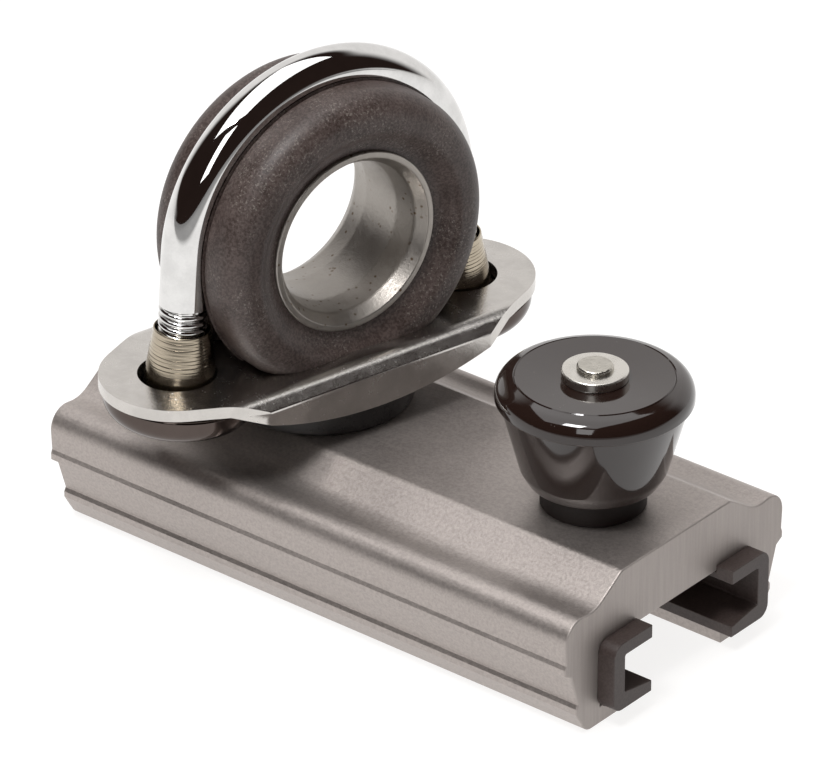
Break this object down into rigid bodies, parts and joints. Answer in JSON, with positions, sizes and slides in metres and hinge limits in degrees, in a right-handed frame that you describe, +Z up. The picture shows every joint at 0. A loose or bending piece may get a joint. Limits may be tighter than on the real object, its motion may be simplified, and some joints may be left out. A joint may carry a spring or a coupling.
{
  "type": "bullseye track slide",
  "caption": "Slide for a T-section deck track: extruded body with lined slots, a swivelling bullseye fairlead under a U-bolt, and a sprung stop plunger with a round knob.",
  "frame": {"origin": "middle of the underside of the two lips, where the slide rests", "axes": "+X along the track towards the plunger, +Z up, +Y across to the left"},
  "size_m": [0.085, 0.0594, 0.0648],
  "materials": {
    "anodised_body": "satin grey anodised",
    "black_liner": "satin moulded",
    "rivet_steel": "turned",
    "black_acetal": "turned",
    "plate_steel": "polished, lightly scratched",
    "bolt_steel": "mirror polished",
    "nut_steel": "turned and polished",
    "ring_moulding": "matt moulded",
    "ferrule_steel": "satin",
    "collar_metal": "black",
    "pin_steel": "turned",
    "spring_steel": "drawn wire",
    "black_knob": "gloss moulded",
    "washer_steel": "worn"
  },
  "bodies": {
    "slide": {"slide_body": "anodised_body", "track_liner_front_left": "black_liner", "track_liner_front_right": "black_liner", "track_liner_rear_left": "black_liner", "track_liner_rear_right": "black_liner", "pivot_rivet": "rivet_steel", "pivot_washer": "rivet_steel", "plunger_collar": "collar_metal", "plunger_spring": "spring_steel"},
    "swivel": {"swivel_disc": "black_acetal", "saddle_plate": "plate_steel", "u_bolt": "bolt_steel", "sleeve_nut_left": "nut_steel", "sleeve_nut_right": "nut_steel", "bullseye_ring": "ring_moulding", "bullseye_ferrule": "ferrule_steel"},
    "plunger": {"plunger_pin": "pin_steel", "plunger_knob": "black_knob", "knob_washer": "washer_steel"}
  },
  "joints": [
    {"name": "swivel_turn", "type": "hinge", "parent": "slide", "child": "swivel", "pos_m": [-0.0146, 0, 0.019], "axis": [0, 0, 1], "continuous": true},
    {"name": "plunger_lift", "type": "slide", "parent": "slide", "child": "plunger", "axis": [0, 0, 1], "range_m": [0, 0.0055], "stiffness_N_per_m": 1500, "springref_m": -0.006, "deforming": ["plunger_spring"]}
  ]
}
